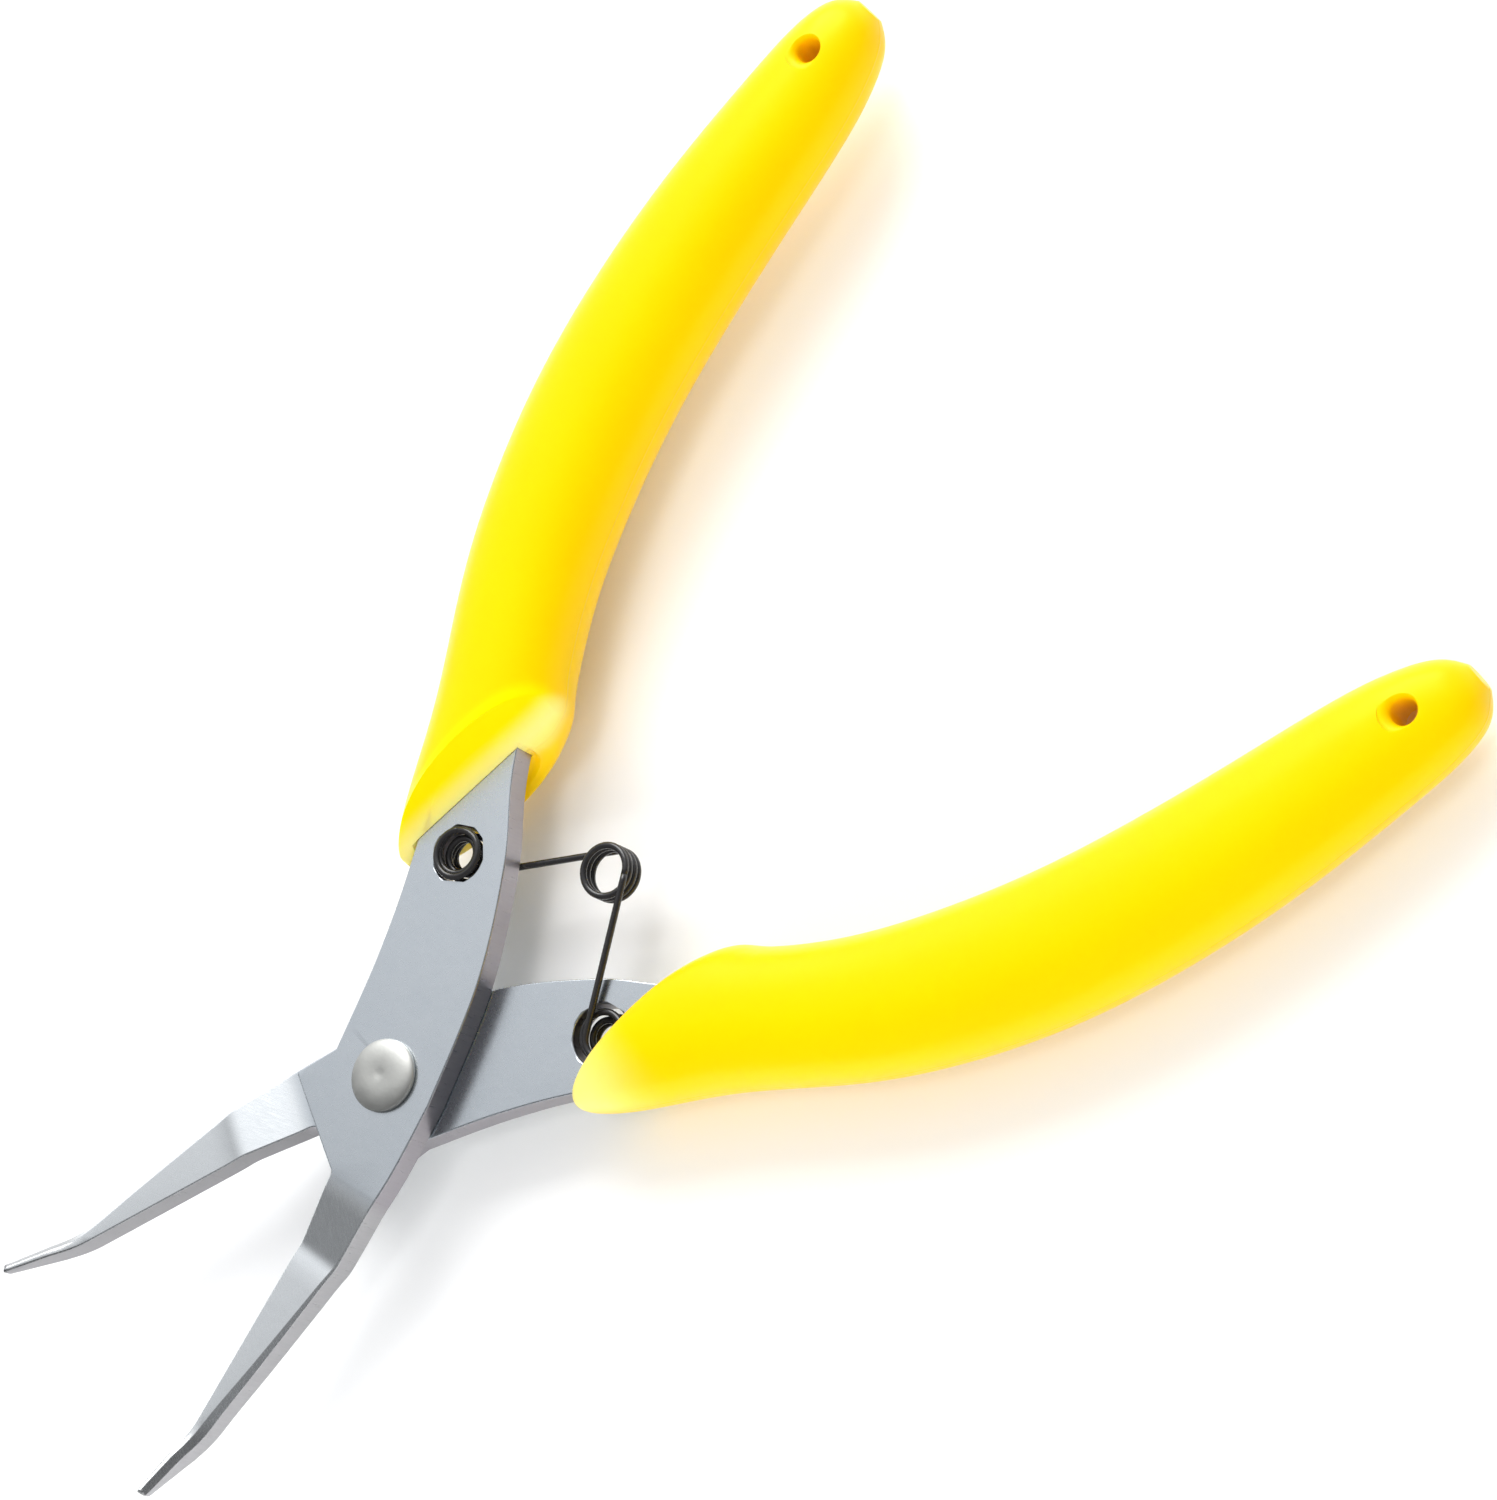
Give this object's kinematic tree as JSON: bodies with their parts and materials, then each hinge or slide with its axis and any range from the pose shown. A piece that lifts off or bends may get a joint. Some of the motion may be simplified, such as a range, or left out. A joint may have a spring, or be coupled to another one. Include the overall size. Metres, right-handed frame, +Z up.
{
  "type": "bent nose mini pliers",
  "caption": "Spring-loaded bent-nose mini pliers for jewellery work, with moulded handle grips, smooth tapered jaws and a torsion return spring.",
  "frame": {"origin": "middle of the lowest face of the box round the open pliers", "axes": "+Z up, square to the plates; +Y from the jaws towards the handles; the open pliers are even about the YZ plane"},
  "size_m": [0.0814, 0.1154, 0.0114],
  "materials": {
    "plate_steel": "satin stainless steel, ground on the jaws",
    "rivet_steel": "satin domed rivet head",
    "grip_plastic": "smooth glossy yellow moulded plastic",
    "spring_steel": "black oxide spring wire, glossy"
  },
  "bodies": {
    "front_half": {"front_plate": "plate_steel", "front_grip": "grip_plastic", "pivot_rivet": "rivet_steel"},
    "back_half": {"back_plate": "plate_steel", "back_grip": "grip_plastic"},
    "front_leg": {"spring_front_leg": "spring_steel"},
    "back_leg": {"spring_back_leg": "spring_steel"}
  },
  "joints": [
    {"name": "jaw_pivot", "type": "hinge", "parent": "front_half", "child": "back_half", "pos_m": [0, -0.02293, 0.00571], "axis": [0, 0, 1], "range_deg": [0, 35.6], "stiffness_Nm_per_rad": 0.05},
    {"name": "spring_front_eye", "type": "hinge", "parent": "front_half", "child": "front_leg", "pos_m": [-0.00938, -0.008, 0.00571], "axis": [0, 0, 1], "range_deg": [0, 46.6]},
    {"name": "spring_coil", "type": "hinge", "parent": "front_leg", "child": "back_leg", "pos_m": [0, 0.00007, 0.00571], "axis": [0, 0, 1], "range_deg": [-57.4, 0]}
  ],
  "couplings": [
    {"joint": "spring_front_eye", "follows": "jaw_pivot", "ratio": 1.304},
    {"joint": "spring_coil", "follows": "jaw_pivot", "ratio": -1.608}
  ]
}
